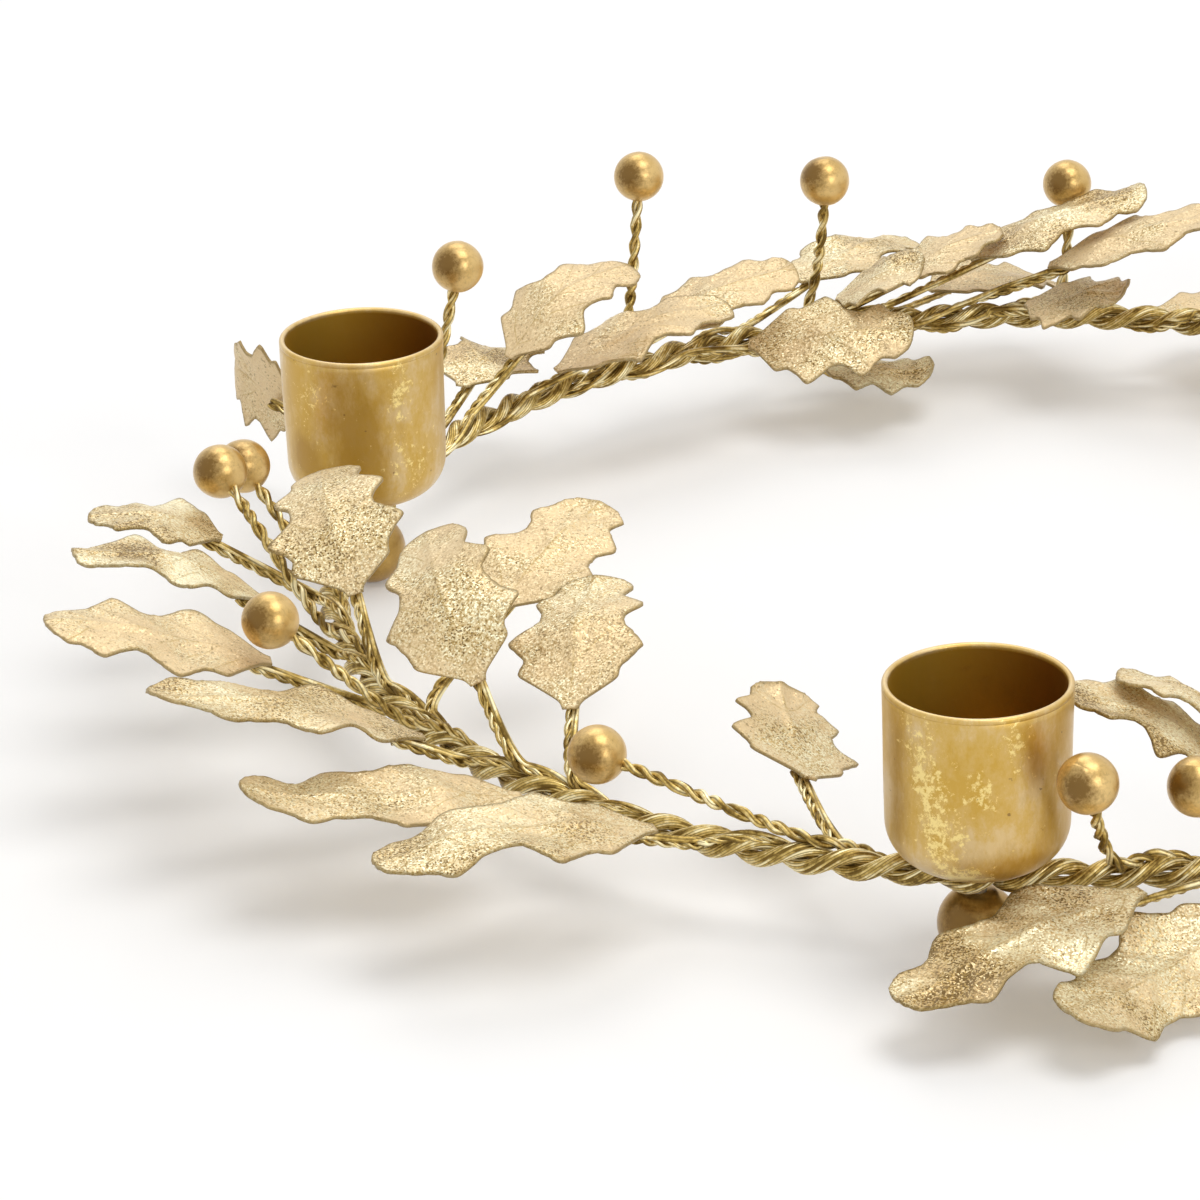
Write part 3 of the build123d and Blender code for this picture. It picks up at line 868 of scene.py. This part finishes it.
def satin_gold(name, tones):
    """Clouded satin gold with a flecked, painted dark reflection on one side."""
    n = Nodes(name)
    cloud = n.noise(260, 5, 0.6)
    grain = n.noise(1900, 4, 0.7)
    colour = n.ramp(cloud, *tones)
    fleck = n.math("MULTIPLY", n.math("SUBTRACT", grain, 0.5), 1.1)
    # Painted dark reflection from the ball's value, broken by flecks.
    brown_and_dark_reflection = n.ramp(n.math("ADD", n.attribute("worn"), fleck), (0.06, 0.0), (0.8, 0.95))
    colour = n.mix(brown_and_dark_reflection, colour, PAINTED_DARK_REFLECTION)
    roughness = n.ramp(cloud, (0.3, 0.27), (0.7, 0.38))
    n.coat(*SATIN_COAT)
    return n.finish(colour, roughness, SATIN_METAL, n.bump(grain, 0.12, 0.0002))


def worn_gold_leaf_and_painted_light():
    """Clouded gold with smears of worn brown and painted dark reflections, chips of bright gold leaf with a
    painted sheen, dark specks, a painted lip highlight, painted shade in the bead groove and painted shade
    inside, darker towards +x.
    """
    n = Nodes("cup_gilt")
    cloud = n.noise(140, 8, 0.72, n.stretched((1.0, 1.0, 0.6)))
    colour = n.ramp(cloud, *CUP_TONES)
    # Brown smears, partly real wear and partly painted dark reflections where the spots say so.
    smear = n.math("SUBTRACT", n.noise(260, 8, 0.75, n.stretched((1.2, 1.2, 0.5))), 0.5)
    wear_and_dark_reflection = n.math("ADD", n.attribute("worn"), n.math("MULTIPLY", smear, 1.6))
    brown_and_dark_reflection = n.ramp(wear_and_dark_reflection, (0.1, 0.0), (0.9, 0.9))
    colour = n.mix(brown_and_dark_reflection, colour, CUP_WORN_AND_DARK_REFLECTION)
    # Chips of bright gold leaf, thick where the spots put real gilding and a painted sheen.
    chips = n.math("SUBTRACT", n.noise(750, 8, 0.8), 0.5)
    thick = n.math("ADD", n.math("MULTIPLY", n.attribute("gilded"), 0.16), chips)
    leaf = n.ramp(thick, (0.12, 0.0), (0.17, 0.9))
    colour = n.mix(leaf, colour, CUP_FLAKE)
    speck = n.ramp(n.noise(700, 2), (0.72, 0.0), (0.75, 0.7))
    colour = n.mix(speck, colour, CUP_SPECK)
    # Painted highlight on the lip.
    colour = n.mix(n.math("MULTIPLY", n.attribute("rim"), 0.5), colour, CUP_LIP_HIGHLIGHT)
    # Painted shade inside the cup, darker towards +x.
    shadowed = n.ramp(n.attribute("worn"), *CUP_INSIDE_PAINTED_SHADE_TONES)
    colour = n.mix(n.math("MULTIPLY", n.attribute("hollow"), 0.95), colour, shadowed)
    roughness = n.ramp(leaf, (0.0, 0.44), (1.0, 0.28))
    n.coat(*CUP_COAT)
    return n.finish(colour, roughness, CUP_METAL, n.bump(n.noise(900, 5, 0.7), 0.14, 0.0003))


def dull_zinc():
    n = Nodes("screw_steel")
    colour = n.ramp(n.noise(900, 3), *ZINC_TONES)
    return n.finish(colour, 0.5, SCREW_METAL, n.bump(n.noise(2500, 2), 0.1, 0.0002))


# The object

ring_wire = gilt_wire("ring_wire")
stem_wire = gilt_wire("stem_wire")
leaf_material = leaf_glitter()
berry_material = satin_gold("berry_gilt", BERRY_TONES)
cup_material = worn_gold_leaf_and_painted_light()
foot_material = satin_gold("foot_gilt", FOOT_TONES)
screw_material = dull_zinc()

for number, phase in ((1, 0.0), (2, pi)):
    node = f"ring_strand_{number}"
    piece(f"{node}_wires", ring_strand(phase, STRAND_SEED + number), ring_wire, node)

for number, (place, look) in enumerate(zip(CUP_ANGLES, CUP_LOOKS), 1):
    ground = rope_point(np.array([place]), 0, 0, 0)[0]
    piece(f"candle_cup_{number}_shell", candle_cup(place, CUP_SEED + number, look), cup_material,
          f"candle_cup_{number}")
    foot = Pile()
    ball(foot, np.array([ground[0], ground[1], FOOT_RADIUS]), FOOT_RADIUS, (0, 0, 1), FOOT_SEED + number,
         flat=(RING_HEIGHT - SEAT_HEIGHT - FOOT_RADIUS) / FOOT_RADIUS)
    piece(f"ball_foot_{number}_ball", foot, foot_material, f"ball_foot_{number}")
    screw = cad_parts[f"cup_screw_{number}"]
    screw.data.materials.clear()
    screw.data.materials.append(screw_material)

placed = list(SPRAYS)
for number, half_turns in REPEATS:
    placed.append([tuple(pick._replace(root=pick.root + HALF_TURN * half_turns) for pick in picks)
                   for picks in SPRAYS[number]])
for number, (leaves, berries) in enumerate(placed, 1):
    blades, stems, balls = Pile(), Pile(), Pile()
    for index, pick in enumerate(leaves + berries):
        seed = SPRAY_SEED * number + PICK_SEED * index
        start, direction, angle, facing = seat(pick)
        path = stem_path(pick, start, direction, angle, facing)
        if isinstance(pick, Berry):
            add_twisted_pair(stems, path, PAIR_RADIUS, PAIR_LAY, PAIR_PITCH, seed)
            ball(balls, start + direction * pick.reach, BERRY_RADIUS, direction, seed)
            continue
        add_leaf_stem(stems, path, seed)
        level = unit(np.array([0, 0, 1.0]) - direction * direction[2])
        level = level * cos(radians(pick.roll)) + np.cross(level, direction) * sin(radians(pick.roll))
        base = start + direction * (pick.reach - LEAF_LAP) + level * (STEM_RADIUS + LEAF_SEAT_GAP)
        add_leaf(blades, pick, base, direction, level, seed)
    node = f"spray_{number:02d}"
    piece(f"{node}_blades", blades, leaf_material, f"{node}_leaves")
    piece(f"{node}_twists", stems, stem_wire, f"{node}_stems")
    if berries:
        piece(f"{node}_balls", balls, berry_material, f"{node}_berries")


# Floor, light and camera

def floor():
    """Pale floor that shows white to the camera and keeps soft shadows."""
    mesh = bpy.data.meshes.new("floor")
    corners = [(x * FLOOR_REACH, y * FLOOR_REACH, 0) for x, y in ((-1, -1), (1, -1), (1, 1), (-1, 1))]
    mesh.from_pydata(corners, [], [(0, 1, 2, 3)])
    made = bpy.data.objects.new("floor", mesh)
    bpy.context.scene.collection.objects.link(made)
    n = Nodes("floor_paper")
    n.finish(n.ramp(n.noise(30, 2), *FLOOR_TONES), 0.8, 0.0)
    path = n.tree.nodes.new("ShaderNodeLightPath")
    seen = n.math("MAXIMUM", path.outputs["Is Camera Ray"], path.outputs["Is Glossy Ray"])
    n.link(n.math("MULTIPLY", seen, FLOOR_GLOW), n.shader.inputs["Emission Strength"])
    n.shader.inputs["Emission Color"].default_value = WHITE
    mesh.materials.append(n.material)


def area_light(name, place, size, power):
    """Round soft lamp that points at the middle of the ring."""
    data = bpy.data.lights.new(name, "AREA")
    data.shape = "DISK"
    data.size = size
    data.energy = power
    made = bpy.data.objects.new(name, data)
    made.location = place
    made.rotation_euler = (-Vector(place)).to_track_quat("-Z", "Y").to_euler()
    bpy.context.scene.collection.objects.link(made)


def white_world():
    """White surroundings that light the ring less than they show."""
    world = bpy.data.worlds.new("studio")
    bpy.context.scene.world = world
    world.use_nodes = True
    tree = world.node_tree
    background = tree.nodes["Background"]
    path = tree.nodes.new("ShaderNodeLightPath")
    direct = tree.nodes.new("ShaderNodeMath")
    direct.operation = "MAXIMUM"
    tree.links.new(path.outputs["Is Camera Ray"], direct.inputs[0])
    tree.links.new(path.outputs["Is Glossy Ray"], direct.inputs[1])
    both = tree.nodes.new("ShaderNodeMath")
    both.operation = "MAXIMUM"
    tree.links.new(direct.outputs[0], both.inputs[0])
    tree.links.new(path.outputs["Is Transmission Ray"], both.inputs[1])
    strength = tree.nodes.new("ShaderNodeMapRange")
    strength.inputs["To Min"].default_value = WORLD_LIGHT
    strength.inputs["To Max"].default_value = WORLD_SEEN
    tree.links.new(both.outputs[0], strength.inputs["Value"])
    tree.links.new(strength.outputs[0], background.inputs["Strength"])
    background.inputs["Color"].default_value = WHITE


def camera():
    """Camera at the photograph's viewpoint."""
    yaw, pitch, roll = (radians(angle) for angle in (CAMERA_YAW, CAMERA_PITCH, CAMERA_ROLL))
    ahead = Vector((sin(yaw) * cos(pitch), cos(yaw) * cos(pitch), -sin(pitch)))
    right = Vector((cos(yaw), -sin(yaw), 0))
    upright = right.cross(ahead)
    right, upright = right * cos(roll) + upright * sin(roll), upright * cos(roll) - right * sin(roll)
    data = bpy.data.cameras.new("camera")
    data.lens = CAMERA_LENS
    data.sensor_width = SENSOR_WIDTH
    data.clip_start = CLIP_START
    made = bpy.data.objects.new("camera", data)
    turn = Matrix((right, upright, -ahead)).transposed().to_4x4()
    made.matrix_world = Matrix.Translation(Vector(CAMERA_PLACE) * MM) @ turn
    bpy.context.scene.collection.objects.link(made)
    bpy.context.scene.camera = made


floor()
for lamp in LAMPS:
    area_light(*lamp)
white_world()
camera()
bpy.context.scene.view_settings.view_transform = "Standard"
